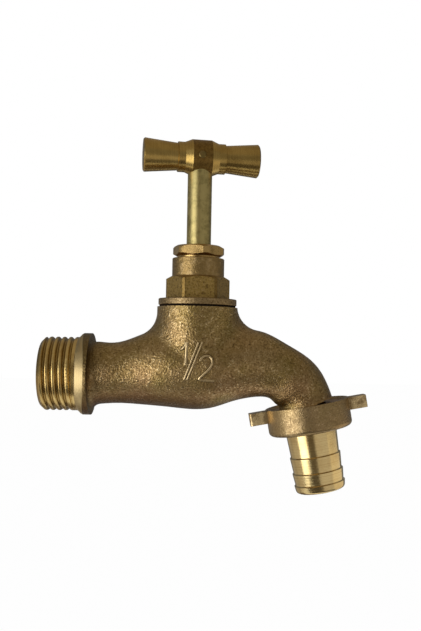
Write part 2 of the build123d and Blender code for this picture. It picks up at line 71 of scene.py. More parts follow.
TAP_MIDDLE: Point = (0.035, 0.0, 0.015)
DOWN: Point = (0.0, 0.0, -1.0)
FRONT: Point = (0.0, -1.0, 0.0)
WHITE: Colour = (1.0, 1.0, 1.0)


class Axis(Enum):
    """Axes that pieces were turned about or lie along, as directions in the row frame."""

    INLET = (1.0, 0.0, 0.0)
    SPINDLE = (0.0, 0.0, 1.0)
    OUTLET = (0.18224, 0.0, -0.98325)
    EARS = (0.98325, 0.0, 0.18224)
    HANDLE = (0.98769, 0.15643, 0.0)


class Mixture(Enum):
    """What a mix node mixes: its data type, its first value's input and its output."""

    COLOURS = ("RGBA", 6, 2)
    NUMBERS = ("FLOAT", 2, 0)


# Small helpers for objects and edit mode


def deselect_all() -> None:
    """Leave edit mode and deselect every object."""
    if bpy.context.object is not None and bpy.context.object.mode != "OBJECT":
        bpy.ops.object.mode_set(mode="OBJECT")
    for obj in bpy.context.view_layer.objects:
        obj.select_set(False)


def activate(obj: Piece) -> None:
    """Make an object the only selected one and the active one.

    Args:
        obj: The object.
    """
    deselect_all()
    obj.select_set(True)
    bpy.context.view_layer.objects.active = obj


def apply_modifiers(obj: Piece) -> None:
    """Apply all of an object's modifiers in order.

    Args:
        obj: The object.
    """
    activate(obj)
    for name in [modifier.name for modifier in obj.modifiers]:
        bpy.ops.object.modifier_apply(modifier=name)


def apply_place(obj: Piece) -> None:
    """Move an object's place and turn into its mesh."""
    activate(obj)
    bpy.ops.object.transform_apply(location=True, rotation=True, scale=True)


def subtract(obj: Piece, tool: Piece) -> None:
    """Cut one object out of another, and remove the tool.

    Args:
        obj: The object that is cut.
        tool: The object that is cut out of it.
    """
    boolean = obj.modifiers.new("cut", "BOOLEAN")
    boolean.operation = "DIFFERENCE"
    boolean.solver = "EXACT"
    boolean.object = tool
    apply_modifiers(obj)
    bpy.data.objects.remove(tool)


def smooth(obj: Piece, degrees: float) -> None:
    """Shade an object smooth wherever its faces meet below an angle."""
    activate(obj)
    bpy.ops.object.shade_smooth_by_angle(angle=math.radians(degrees))


def ring(name: str, points: Sequence[Point]) -> Piece:
    """Draw a closed row of edges.

    Args:
        name: The new object's name.
        points: Its points, in millimetres.

    Returns:
        The new object.
    """
    deselect_all()
    bpy.ops.mesh.primitive_circle_add(vertices=len(points), radius=1.0, fill_type="NOTHING")
    made = bpy.context.object
    made.name = name
    for vertex, point in zip(made.data.vertices, points):
        vertex.co = Vector(point) * MM
    return made


def node_copy(node: str, name: str) -> Piece:
    """Copy a CAD node's mesh into a new closed object.

    Args:
        node: The CAD node.
        name: The new object's name.

    Returns:
        The new object, with its loose triangles merged.
    """
    source = frame["nodes"][node]
    obj = bpy.data.objects.new(name, source.data.copy())
    bpy.context.scene.collection.objects.link(obj)
    obj.data.materials.clear()
    activate(obj)
    bpy.ops.mesh.customdata_custom_splitnormals_clear()
    bpy.ops.object.mode_set(mode="EDIT")
    bpy.ops.mesh.select_all(action="SELECT")
    bpy.ops.mesh.remove_doubles(threshold=MERGE_DISTANCE)
    bpy.ops.mesh.mark_sharp(clear=True)
    bpy.ops.object.mode_set(mode="OBJECT")
    return obj


def dress(obj: Piece, material: Material) -> None:
    """Give an object one material on all of its faces.

    Args:
        obj: The object.
        material: The material.
    """
    slots = obj.data.materials
    if len(slots) == 0:
        slots.append(material)
    for index in range(len(slots)):
        slots[index] = material


def finish_piece(obj: Piece, body: str, slot: str, *nodes: str) -> None:
    """Put a finished piece on its body and hide the CAD nodes that it stands for.

    Args:
        obj: The piece.
        body: The CAD body that it rides on.
        slot: The record's material slot; not used.
        nodes: The CAD nodes that it replaces.
    """
    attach(obj, body)
    if nodes:
        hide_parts(*nodes)
    LOG.info("piece %s: %d faces, rides on %s", obj.name, len(obj.data.polygons), body)


# Material graph


def bare_material(name: str) -> tuple[Material, bpy.types.NodeTree, Socket]:
    """Start a material that has nothing but its output.

    Args:
        name: The material's name.

    Returns:
        The material, its node tree and the input for its surface.
    """
    material = bpy.data.materials.new(name)
    material.use_nodes = True
    tree = material.node_tree
    tree.nodes.clear()
    output = tree.nodes.new("ShaderNodeOutputMaterial")
    return material, tree, output.inputs["Surface"]


def glow(tree: bpy.types.NodeTree, colour: Colour, level: float = 1.0) -> Socket:
    """Add a surface that shines by itself.

    Args:
        tree: The node tree.
        colour: Its colour.
        level: Its brightness.

    Returns:
        The socket with the shader.
    """
    node = tree.nodes.new("ShaderNodeEmission")
    node.inputs["Color"].default_value = (*colour, 1.0)
    node.inputs["Strength"].default_value = level
    return node.outputs[0]


class Skin(NamedTuple):
    """What a finish gives the shader: a colour, a roughness, and a relief with its depth."""

    colour: Value
    rough: Value
    relief: Socket
    depth_mm: float


class Graph:
    """A material's node tree with short calls for what the finishes need."""

    LINE_DETAIL: ClassVar[float] = 4.0
    LINE_ROUGH: ClassVar[float] = 0.7

    def __init__(self, name: str) -> None:
        """Start a material with a Principled shader.

        Args:
            name: The material's name.
        """
        self.material, self.tree, surface = bare_material(name)
        self.shader = self.tree.nodes.new("ShaderNodeBsdfPrincipled")
        self.link(self.shader.outputs[0], surface)
        self.place = self.tree.nodes.new("ShaderNodeTexCoord").outputs["Object"]

    def link(self, source: Socket, target: Socket) -> None:
        """Join two sockets."""
        self.tree.links.new(source, target)

    def put(self, target: Socket, value: Value) -> None:
        """Set a socket to a number or colour, or join it to another socket.

        Args:
            target: The input.
            value: A number, a colour or an output socket.
        """
        if isinstance(value, Socket):
            self.link(value, target)
        elif isinstance(value, tuple) and len(value) == 3 and target.type == "RGBA":
            target.default_value = (*value, 1.0)
        else:
            target.default_value = value

    def vector(self, operation: str, first: Socket, second: Point = (0.0, 0.0, 0.0)) -> bpy.types.Node:
        """Work out one sum with vectors.

        Args:
            operation: Blender's name of it.
            first: The first vector's socket.
            second: The second vector.

        Returns:
            The node.
        """
        node = self.tree.nodes.new("ShaderNodeVectorMath")
        node.operation = operation
        self.link(first, node.inputs[0])
        node.inputs[1].default_value = second
        return node

    def along(self, axis: Axis) -> Socket:
        """Distance along an axis, in metres."""
        return self.vector("DOT_PRODUCT", self.place, axis.value).outputs["Value"]

    def beside(self, axis: Axis, at_mm: float) -> Socket:
        """Distance to either side of a place on an axis, in metres."""
        offset = self.math("SUBTRACT", self.along(axis), at_mm * MM)
        return self.math("ABSOLUTE", offset)

    def away_from(self, axis: Axis) -> Socket:
        """Distance away from an axis through the origin, in metres."""
        cross = self.vector("CROSS_PRODUCT", self.place, axis.value)
        return self.vector("LENGTH", cross.outputs["Vector"]).outputs["Value"]

    def part(self, letter: str) -> Socket:
        """One object coordinate, in metres.

        Args:
            letter: X, Y or Z.

        Returns:
            The socket with the coordinate.
        """
        node = self.tree.nodes.new("ShaderNodeSeparateXYZ")
        self.link(self.place, node.inputs[0])
        return node.outputs[letter]

    def facing(self, direction: Point) -> Socket:
        """How far the surface faces a direction of length 1: 1 towards it and 0 across it."""
        normal = self.tree.nodes.new("ShaderNodeNewGeometry").outputs["Normal"]
        return self.vector("DOT_PRODUCT", normal, direction).outputs["Value"]

    def noise(self, size_mm: float, detail: float = 3.0, rough: float = 0.55) -> Socket:
        """Even noise in space.

        Args:
            size_mm: Size of its largest patches.
            detail: Number of finer layers.
            rough: Share that each finer layer keeps.

        Returns:
            The socket with the noise, from 0 to 1.
        """
        node = self.tree.nodes.new("ShaderNodeTexNoise")
        self.link(self.place, node.inputs["Vector"])
        node.inputs["Scale"].default_value = 1.0 / (size_mm * MM)
        node.inputs["Detail"].default_value = detail
        node.inputs["Roughness"].default_value = rough
        return node.outputs["Fac"]

    def lines(self, distance: Socket, size_mm: float) -> Socket:
        """Noise along one distance only, as a cutting tool leaves it.

        Args:
            distance: The distance's socket.
            size_mm: Width of the widest lines.

        Returns:
            The socket with the noise, from 0 to 1.
        """
        node = self.tree.nodes.new("ShaderNodeTexNoise")
        node.noise_dimensions = "1D"
        self.link(distance, node.inputs["W"])
        node.inputs["Scale"].default_value = 1.0 / (size_mm * MM)
        node.inputs["Detail"].default_value = self.LINE_DETAIL
        node.inputs["Roughness"].default_value = self.LINE_ROUGH
        return node.outputs["Fac"]

    def span(self, value: Socket, low: float, high: float, to_low: float = 0.0,
             to_high: float = 1.0) -> Socket:
        """Stretch a range of a value onto another range, and clamp it there.

        Args:
            value: The value's socket.
            low: Where the range starts.
            high: Where it ends.
            to_low: What low becomes.
            to_high: What high becomes.

        Returns:
            The socket with the result.
        """
        node = self.tree.nodes.new("ShaderNodeMapRange")
        self.link(value, node.inputs["Value"])
        node.inputs["From Min"].default_value = low
        node.inputs["From Max"].default_value = high
        node.inputs["To Min"].default_value = to_low
        node.inputs["To Max"].default_value = to_high
        return node.outputs["Result"]

    def span_mm(self, distance: Socket, low: float, high: float, to_low: float = 0.0,
                to_high: float = 1.0) -> Socket:
        """Stretch a range of a distance, given in millimetres, as span does."""
        return self.span(distance, low * MM, high * MM, to_low, to_high)

    def step(self, distance: Socket, at_mm: float, edge_mm: float, to_high: float = 1.0) -> Socket:
        """Step up from 0 where a distance passes a place, or down to 0 with an edge below 0."""
        return self.span_mm(distance, at_mm - edge_mm, at_mm + edge_mm, 0.0, to_high)

    def mixed(self, kind: Mixture, share: Value, first: Value, second: Value) -> Socket:
        """Mix two values.

        Args:
            kind: What they are.
            share: Share of the second one.
            first: Colour, number or socket.
            second: Colour, number or socket.

        Returns:
            The socket with the mixed value.
        """
        data_type, first_input, output = kind.value
        node = self.tree.nodes.new("ShaderNodeMix")
        node.data_type = data_type
        self.put(node.inputs[0], share)
        self.put(node.inputs[first_input], first)
        self.put(node.inputs[first_input + 1], second)
        return node.outputs[output]

    def mix(self, share: Value, first: Value, second: Value) -> Socket:
        """Mix two colours by the share of the second one."""
        return self.mixed(Mixture.COLOURS, share, first, second)

    def blend(self, share: Value, first: Value, second: Value) -> Socket:
        """Mix two numbers by the share of the second one."""
        return self.mixed(Mixture.NUMBERS, share, first, second)

    def tint(self, colour: Value, other: Colour, value: Socket, limits: Range, share: float = 1.0) -> Socket:
        """Mix another colour in where a value passes from one limit to the other."""
        return self.mix(self.span(value, *limits, to_high=share), colour, other)

    def math(self, operation: str, first: Value, second: Value = 0.0) -> Socket:
        """Work out one sum.

        Args:
            operation: Blender's name of it.
            first: Number or socket.
            second: Number or socket.

        Returns:
            The socket with the result.
        """
        node = self.tree.nodes.new("ShaderNodeMath")
        node.operation = operation
        self.put(node.inputs[0], first)
        self.put(node.inputs[1], second)
        return node.outputs[0]

    def times(self, first: Value, second: Value) -> Socket:
        """One number times another."""
        return self.math("MULTIPLY", first, second)

    def cover(self, share: Socket, under: Skin, over: Skin) -> Skin:
        """Lay one skin over another, at the upper one's depth.

        Args:
            share: Share of the upper one.
            under: The lower skin.
            over: The upper skin.

        Returns:
            The skin of both.
        """
        colour = self.mix(share, under.colour, over.colour)
        rough = self.blend(share, under.rough, over.rough)
        return Skin(colour, rough, self.blend(share, under.relief, over.relief), over.depth_mm)

    def finish(self, skin: Skin, metallic: float) -> Material:
        """Feed the shader.

        Args:
            skin: Colour, roughness and relief.
            metallic: 1 for metal and 0 for the rest.

        Returns:
            The material.
        """
        bump = self.tree.nodes.new("ShaderNodeBump")
        bump.inputs["Distance"].default_value = skin.depth_mm * MM
        self.link(skin.relief, bump.inputs["Height"])
        self.put(self.shader.inputs["Base Color"], skin.colour)
        self.put(self.shader.inputs["Roughness"], skin.rough)
        self.shader.inputs["Metallic"].default_value = metallic
        self.link(bump.outputs["Normal"], self.shader.inputs["Normal"])
        return self.material


# Finishes


@dataclass(frozen=True)
class Finish:
    """A finish with a name, which builds its material from the skin that its kind adds."""

    name: str
    METALLIC: ClassVar[float] = 1.0

    def skin(self, graph: Graph) -> Skin:
        """Add the finish's nodes.

        Args:
            graph: The material's graph.

        Returns:
            The skin.
        """
        raise NotImplementedError

    def material(self) -> Material:
        """Build the material."""
        graph = Graph(self.name)
        return graph.finish(self.skin(graph), self.METALLIC)


@dataclass(frozen=True)
class CastBrass(Finish):
    """Sand-cast brass: sharp grains with worn tops, tarnished pits and patches of copper red."""

    pit: Colour = (0.110, 0.068, 0.022)
    body: Colour = (0.360, 0.245, 0.102)
    olive: Colour = (0.288, 0.202, 0.066)
    copper: Colour = (0.350, 0.200, 0.100)
    bright: Colour = (0.780, 0.600, 0.340)
    grain_mm: float = 0.50
    grain_depth_mm: float = 0.26
    coarse_factor: float = 2.6
    coarse_share: float = 0.3
    pit_range: Range = (0.48, 0.34)
    pit_share: float = 0.8
    bright_range: Range = (0.53, 0.66)
    bright_share: float = 0.55
    tarnish_mm: float = 9.0
    tarnish_range: Range = (0.42, 0.62)
    roughness: float = 0.32
    rougher: float = 0.16
    smoother: float = 0.06
    rough_range: Range = (0.38, 0.62)
    copper_mm: float = 15.0
    copper_range: Range = (0.44, 0.64)
    copper_share: float = 0.80
    copper_least: float = 0.25
    copper_from_mm: float = 5.0
    copper_full_mm: float = -6.0

    def skin(self, graph: Graph) -> Skin:
        """Add the cast skin's nodes.

        Args:
            graph: The material's graph.

        Returns:
            The skin.
        """
        grain = graph.noise(self.grain_mm, detail=2.0)
        coarse = graph.noise(self.grain_mm * self.coarse_factor, detail=2.0, rough=0.5)
        patches = graph.noise(self.copper_mm, detail=2.0, rough=0.5)
        tarnish = graph.noise(self.tarnish_mm, detail=3.0, rough=0.6)
        height = graph.blend(self.coarse_share, grain, coarse)
        colour = graph.tint(self.body, self.olive, tarnish, self.tarnish_range)
        low = graph.span_mm(graph.part("Z"), self.copper_from_mm, self.copper_full_mm, self.copper_least)
        red = graph.span(patches, *self.copper_range, to_high=self.copper_share)
        colour = graph.mix(graph.times(red, low), colour, self.copper)
        colour = graph.tint(colour, self.pit, height, self.pit_range, self.pit_share)
        colour = graph.tint(colour, self.bright, height, self.bright_range, self.bright_share)
        dull, shiny = self.roughness + self.rougher, self.roughness - self.smoother
        rough = graph.span(height, *self.rough_range, dull, shiny)
        return Skin(colour, rough, height, self.grain_depth_mm)


@dataclass(frozen=True)
class TurnedBrass(Finish):
    """Brass turned on a lathe, with fine lines round its axis."""

    axis: Axis
    colour: Colour = (0.620, 0.470, 0.210)
    stain: Colour = (0.330, 0.200, 0.070)
    stain_mm: float = 5.0
    stain_range: Range = (0.42, 0.66)
    stain_share: float = 0.5
    line_mm: float = 0.30
    line_depth_mm: float = 0.006
    line_range: Range = (0.52, 0.36)
    line_share: float = 0.45
    roughness: float = 0.20
    rough_range: Range = (0.3, 0.7)
    rough_spread: float = 0.14
    spread_below: float = 0.3

    def skin(self, graph: Graph) -> Skin:
        """Add the turned surface's nodes.

        Args:
            graph: The material's graph.

        Returns:
            The skin.
        """
        lines = graph.lines(graph.along(self.axis), self.line_mm)
        patches = graph.noise(self.stain_mm, detail=4.0, rough=0.6)
        colour = graph.tint(self.colour, self.stain, patches, self.stain_range, self.stain_share)
        colour = graph.tint(colour, self.stain, lines, self.line_range, self.line_share)
        smoothest = self.roughness - self.spread_below * self.rough_spread
        rough = graph.span(lines, *self.rough_range, smoothest, smoothest + self.rough_spread)
        return Skin(colour, rough, lines, self.line_depth_mm)


@dataclass(frozen=True)
class CastingFinish(Finish):
    """The casting's cast skin with its turned thread and collar, which end where the tool ran out."""

    cast: CastBrass
    turned: TurnedBrass
    end_x_mm: float = 2.8
    end_sag_mm: float = 1.45
    collar_r_mm: float = 11.65
    edge_mm: float = 0.12
    # Painted shade on the neck behind the collar, strongest at the collar.
    shade: Colour = (0.110, 0.075, 0.028)
    shade_end_x_mm: float = 8.5
    shade_share: float = 0.72
    groove: Colour = (0.210, 0.130, 0.030)
    groove_r_mm: float = 9.95
    crest_r_mm: float = 10.40
    groove_share: float = 0.70
    thread_end_x_mm: float = -0.1
    thread_roughness: float = 0.27
    cone: Colour = (0.400, 0.310, 0.165)
    cone_share: float = 0.75
    # Painted shade on the belly where it faces down, fading out past under_end_x_mm.
    under: Colour = (0.120, 0.062, 0.026)
    under_slopes: Range = (0.40, 0.72)
    painted_underside_shade_share: float = 0.78
    under_end_x_mm: float = 33.0
    under_fade_mm: float = 9.0

    def cast_skin(self, graph: Graph) -> Skin:
        """Add the cast skin, with painted shade behind the collar and beneath the belly.

        Args:
            graph: The material's graph.

        Returns:
            The skin.
        """
        skin = self.cast.skin(graph)
        x = graph.part("X")
        # Painted shade on the neck, fading out from the collar along the inlet's axis.
        near = graph.span_mm(x, self.end_x_mm, self.shade_end_x_mm, self.shade_share, 0.0)
        shaded = graph.mix(near, skin.colour, self.shade)
        # Painted shade where the belly faces down.
        beneath = graph.span(graph.facing(DOWN), *self.under_slopes, to_high=self.painted_underside_shade_share)
        belly = graph.span_mm(x, self.under_end_x_mm, self.under_end_x_mm + self.under_fade_mm, 1.0, 0.0)
        return skin._replace(colour=graph.mix(graph.times(beneath, belly), shaded, self.under))

    def turned_skin(self, graph: Graph) -> Skin:
        """Add the turned thread and collar, darker towards the groove roots and with a duller cone.

        Args:
            graph: The material's graph.

        Returns:
            The skin.
        """
        skin = self.turned.skin(graph)
        away = graph.away_from(Axis.INLET)
        # Darker towards the groove roots.
        groove_darkening = graph.span_mm(away, self.groove_r_mm, self.crest_r_mm, self.groove_share, 0.0)
        groove_darkened = graph.mix(groove_darkening, skin.colour, self.groove)
        collar = graph.span_mm(graph.part("X"), self.thread_end_x_mm, 0.0)
        rough = graph.blend(collar, self.thread_roughness, skin.rough)
        colour = graph.mix(graph.times(collar, self.cone_share), groove_darkened, self.cone)
        return skin._replace(colour=colour, rough=rough)

    def skin(self, graph: Graph) -> Skin:
        """Add both skins, which meet where the tool ran out.

        Args:
            graph: The material's graph.

        Returns:
            The skin.
        """
        up = graph.math("DIVIDE", graph.part("Z"), self.collar_r_mm * MM)
        sag = graph.times(graph.times(up, up), self.end_sag_mm * MM)
        share = graph.step(graph.math("ADD", graph.part("X"), sag), self.end_x_mm, self.edge_mm)
        cast = self.cast_skin(graph)
        turned = self.turned_skin(graph)
        relief = graph.times(turned.relief, turned.depth_mm / cast.depth_mm)
        return graph.cover(share, turned._replace(relief=relief), cast)


@dataclass(frozen=True)
class NutFinish(Finish):
    """The union nut's cast skin with its ears rubbed bright."""

    cast: CastBrass
    middle_mm: float = 62.90
    ring_mm: float = 12.2
    ear_mm: float = 13.4
    worn: Colour = (0.800, 0.620, 0.330)
    worn_share: float = 0.9
    rub_mm: float = 2.4
    rub_range: Range = (0.44, 0.60)
    rub_least: float = 0.15

    def skin(self, graph: Graph) -> Skin:
        """Add the cast skin with the rubbed ears.

        Args:
            graph: The material's graph.

        Returns:
            The skin.
        """
        skin = self.cast.skin(graph)
        away = graph.beside(Axis.EARS, self.middle_mm)
        share = graph.span_mm(away, self.ring_mm, self.ear_mm, 0.0, self.worn_share)
        rub = graph.noise(self.rub_mm, detail=3.0, rough=0.6)
        left = graph.span(rub, *self.rub_range, 1.0, self.rub_least)
        return skin._replace(colour=graph.mix(graph.times(share, left), skin.colour, self.worn))


@dataclass(frozen=True)
class HandleFinish(Finish):
    """The handle's turned finish with its hub left dull and brown."""

    turned: TurnedBrass
    hub_at_mm: float = 33.21
    hub_half_mm: float = 2.75
    edge_mm: float = 0.08
    hub: Colour = (0.250, 0.150, 0.040)
    hub_dark: Colour = (0.150, 0.085, 0.020)
    hub_roughness: float = 0.42
    hub_grain_mm: float = 0.7
    hub_grain_height: float = 4.0
    hub_dark_range: Range = (0.4, 0.62)

    def skin(self, graph: Graph) -> Skin:
        """Add the turned skin with the brown hub.

        Args:
            graph: The material's graph.

        Returns:
            The skin.
        """
        away = graph.beside(self.turned.axis, self.hub_at_mm)
        share = graph.step(away, self.hub_half_mm, -self.edge_mm)
        skin = self.turned.skin(graph)
        grain = graph.noise(self.hub_grain_mm, detail=4.0, rough=0.7)
        brown = graph.tint(self.hub, self.hub_dark, grain, self.hub_dark_range)
        relief = graph.times(grain, self.hub_grain_height)
        return graph.cover(share, skin, Skin(brown, self.hub_roughness, relief, skin.depth_mm))


@dataclass(frozen=True)
class MarkFinish(Finish):
    """The size mark's finish: cast skin with worn bright tops, and dark feet of grime and painted shadow."""

    cast: CastBrass
    # Grime and painted shadow at the feet of the rods.
    foot_grime_and_shadow: Colour = (0.050, 0.030, 0.012)
    top: Colour = (0.640, 0.490, 0.270)
    foot_slopes: Range = (0.78, 0.68)
    foot_grime_and_shadow_share: float = 0.9
    top_slopes: Range = (0.83, 0.92)
    top_share: float = 0.8

    def skin(self, graph: Graph) -> Skin:
        """Add the cast skin with the tops and the feet.

        Args:
            graph: The material's graph.

        Returns:
            The skin.
        """
        skin = self.cast.skin(graph)
        slope = graph.facing(FRONT)
        worn = graph.tint(skin.colour, self.top, slope, self.top_slopes, self.top_share)
        # Dark feet: grime and painted shadow where the rods' sides turn away from the front.
        return skin._replace(colour=graph.tint(worn, self.foot_grime_and_shadow, slope, self.foot_slopes, self.foot_grime_and_shadow_share))


@dataclass(frozen=True)
class SatinBrass(Finish):
    """Drawn or milled brass with a soft shine, fine grain and small dark specks."""

    colour: Colour = (0.560, 0.455, 0.185)
    speck: Colour = (0.200, 0.160, 0.050)
    speck_mm: float = 3.2
    speck_range: Range = (0.46, 0.64)
    speck_share: float = 0.60
    grain_mm: float = 0.45
    grain_depth_mm: float = 0.015
    roughness: float = 0.35
    rougher: float = 0.10
    smoother: float = 0.05
    rough_range: Range = (0.3, 0.7)

    def skin(self, graph: Graph) -> Skin:
        """Add the satin surface's nodes.

        Args:
            graph: The material's graph.

        Returns:
            The skin.
        """
        grain = graph.noise(self.grain_mm, detail=3.0, rough=0.6)
        specks = graph.noise(self.speck_mm, detail=4.0, rough=0.7)
        colour = graph.tint(self.colour, self.speck, specks, self.speck_range, self.speck_share)
        shiny, dull = self.roughness - self.smoother, self.roughness + self.rougher
        rough = graph.span(grain, *self.rough_range, shiny, dull)
        return Skin(colour, rough, grain, self.grain_depth_mm)


@dataclass(frozen=True)
class BonnetBrass(Finish):
    """The bonnet's three finishes: bronze flange, forged hexagon and scratched cylinder."""

    flange_top_mm: float = 22.0
    flange_edge_mm: float = 0.02
    hexagon_top_mm: float = 28.3
    hexagon_edge_mm: float = 0.2
    flange: Colour = (0.320, 0.225, 0.110)
    forged: Colour = (0.400, 0.265, 0.078)
    cylinder: Colour = (0.310, 0.205, 0.078)
    bright: Colour = (0.520, 0.370, 0.180)
    dark: Colour = (0.120, 0.070, 0.020)
    grain_mm: float = 0.55
    grain_depth_mm: float = 0.14
    dark_range: Range = (0.48, 0.36)
    dark_share: float = 0.75
    bright_range: Range = (0.54, 0.68)
    bright_share: float = 0.60
    # The hexagon's corners get painted shade that dims their highlight.
    axis_x_mm: float = 33.3
    corner_r_mm: float = 9.03
    corner_edge_mm: float = 0.05
    painted_corner_shade_share: float = 0.60
    scratch_mm: float = 2.2
    scratch_height: float = 2.2
    scratch_range: Range = (0.5, 0.7)
    forged_roughness: float = 0.42
    cylinder_roughness: float = 0.33

    def corners(self, graph: Graph) -> Socket:
        """Share of painted shade at the hexagon's corners, where they stand out past a radius; it dims their
        highlight.

        Args:
            graph: The material's graph.

        Returns:
            The socket with the share.
        """
        across = graph.math("SUBTRACT", graph.part("X"), self.axis_x_mm * MM)
        depth = graph.part("Y")
        squares = graph.math("ADD", graph.times(across, across), graph.times(depth, depth))
        away = graph.math("SQRT", squares)
        return graph.step(away, self.corner_r_mm, self.corner_edge_mm, self.painted_corner_shade_share)

    def skin(self, graph: Graph) -> Skin:
        """Add the three surfaces, one above the other.

        Args:
            graph: The material's graph.

        Returns:
            The skin.
        """
        height = graph.part("Z")
        above_flange = graph.step(height, self.flange_top_mm, self.flange_edge_mm)
        above_hexagon = graph.step(height, self.hexagon_top_mm, self.hexagon_edge_mm)
        grain = graph.noise(self.grain_mm, detail=3.0, rough=0.6)
        scratches = graph.noise(self.scratch_mm, detail=5.0, rough=0.75)
        colour = graph.mix(above_flange, self.flange, self.forged)
        colour = graph.tint(colour, self.dark, grain, self.dark_range, self.dark_share)
        colour = graph.tint(colour, self.bright, grain, self.bright_range, self.bright_share)
        # Painted shade on the hexagon's corners, which dims their highlight.
        colour = graph.mix(graph.times(self.corners(graph), above_flange), colour, self.dark)
        satin = graph.tint(self.cylinder, self.bright, scratches, self.scratch_range)
        colour = graph.mix(above_hexagon, colour, satin)
        rough = graph.blend(above_hexagon, self.forged_roughness, self.cylinder_roughness)
        relief = graph.blend(above_hexagon, grain, graph.times(scratches, self.scratch_height))
        return Skin(colour, rough, relief, self.grain_depth_mm)


@dataclass(frozen=True)
class PlainFill(Finish):
    """Rubber, fibre or packing."""

    METALLIC: ClassVar[float] = 0.0
    colour: Colour
    pale: Colour
    roughness: float = 0.75
    grain_mm: float = 0.5
    grain_depth_mm: float = 0.05
    pale_range: Range = (0.4, 0.7)
    sheen: float = 0.15

    def skin(self, graph: Graph) -> Skin:
        """Add the fine grain's nodes.

        Args:
            graph: The material's graph.

        Returns:
            The skin.
        """
        grain = graph.noise(self.grain_mm, detail=4.0, rough=0.6)
        colour = graph.tint(self.colour, self.pale, grain, self.pale_range)
        graph.shader.inputs["Specular IOR Level"].default_value = self.sheen
        return Skin(colour, self.roughness, grain, self.grain_depth_mm)


# Pieces


@dataclass
class InletThread:
    """Pipe thread that is cut into the casting's inlet, with a worn, rounded form."""

    pitch: float = 1.814
    crest_r: float = 10.4775
    root_r: float = 9.82
    root_half_width: float = 0.14
    crest_half_width: float = 0.54
    land_half_width: float = 0.80
    outer_half_width: float = 0.86
    outer_r: float = 11.0
    flank_reach: float = 0.55
    flank_rise: float = 0.50
    shoulder_drop: float = 0.20
    rounding_drop: float = 0.06
    last_groove_x: float = -1.60
    turns: int = 6
    run_out_turns: float = 0.6
    steps: int = 72

    def profile(self) -> list[tuple[float, float]]:
        """Work out the groove's outline as (along the axis, radius) points, in millimetres.

        Returns:
            The points of the closed outline.
        """
        rise = self.crest_r - self.root_r
        reach = self.crest_half_width - self.root_half_width
        side = [
            (self.root_half_width, self.root_r),
            (self.root_half_width + self.flank_reach * reach, self.root_r + self.flank_rise * rise),
            (self.crest_half_width, self.crest_r - self.shoulder_drop * rise),
            (0.5 * (self.crest_half_width + self.land_half_width), self.crest_r - self.rounding_drop * rise),
            (self.land_half_width, self.crest_r),
            (self.outer_half_width, self.outer_r),
        ]
        return side + [(-x, radius) for x, radius in reversed(side)]

    def cutter(self) -> Piece:
        """Build the groove as a closed coil that runs out before the collar.

        Returns:
            The cutter object.
        """
        start = self.last_groove_x - self.turns * self.pitch
        points = [(start + x, 0.0, radius) for x, radius in self.profile()]
        coil = ring("groove_coil", points)
        screw = coil.modifiers.new("screw", "SCREW")
        screw.axis = "X"
        screw.angle = math.tau
        screw.screw_offset = self.pitch * MM
        screw.iterations = self.turns + 1
        screw.steps = self.steps
        screw.render_steps = self.steps
        screw.use_merge_vertices = False
        apply_modifiers(coil)
        self.run_out(coil, len(points))
        bpy.ops.object.mode_set(mode="EDIT")
        bpy.ops.mesh.select_all(action="SELECT")
        bpy.ops.mesh.fill_holes(sides=0)
        bpy.ops.mesh.normals_make_consistent(inside=False)
        bpy.ops.object.mode_set(mode="OBJECT")
        return coil

    def run_out(self, coil: Piece, ring_size: int) -> None:
        """Lift the groove's last turn out of the metal.

        Args:
            coil: The cutter object.
            ring_size: Number of points in its outline.
        """
        lift = (self.crest_r - self.root_r) / self.run_out_turns
        for index, vertex in enumerate(coil.data.vertices):
            past = index // ring_size / self.steps - self.turns
            if past > 0:
                radial = Vector((0.0, vertex.co.y, vertex.co.z)).normalized()
                vertex.co += radial * past * lift * MM

    def cut(self, blank: Piece) -> None:
        """Cut the thread into a piece."""
        subtract(blank, self.cutter())


@dataclass
class CollarCone:
    """Cone that the lathe cut on the collar, longer at the front where the casting stands further out."""

    slope: float = 0.5
    collar_r: float = 11.6475
    front_end_x: float = 2.8
    top_end_x: float = 1.35
    start_x: float = 0.05
    length: float = 4.0
    block_r: float = 14.0
    plug_spare: float = 1.0
    vertices: int = 160

    def solid(self, name: str, start_r: float, end_r: float, spare: float = 0.0,
              narrowing: float = 1.0) -> Piece:
        """Build a closed cone or cylinder about the inlet's axis.

        Args:
            name: Its name.
            start_r: Its radius at the start of the cut, before the spare length.
            end_r: Its radius at the end of the cut, before the spare length.
            spare: Length that it stands out at either end.
            narrowing: Its width against its height.

        Returns:
            The solid.
        """
        growth = (end_r - start_r) / self.length * spare
        deselect_all()
        bpy.ops.mesh.primitive_cone_add(
            vertices=self.vertices, radius1=(start_r - growth) * MM, radius2=(end_r + growth) * MM,
            depth=(self.length + 2 * spare) * MM, location=((self.start_x + self.length / 2) * MM, 0.0, 0.0),
            rotation=(0.0, math.pi / 2, 0.0), scale=(1.0, narrowing, 1.0)
        )
        made = bpy.context.object
        made.name = name
        apply_place(made)
        return made

    def cut(self, blank: Piece) -> None:
        """Cut the cone into a piece, as a block round the collar with a plug taken out of it.

        Args:
            blank: The piece.
        """
        start_r = self.collar_r - self.slope * (self.top_end_x - self.start_x)
        end_r = start_r + self.slope * self.length
        narrowing = 1 - self.slope * (self.front_end_x - self.top_end_x) / self.collar_r
        plug = self.solid("cone_plug", start_r, end_r, self.plug_spare, narrowing)
        block = self.solid("cone_block", self.block_r, self.block_r)
        subtract(block, plug)
        subtract(blank, block)


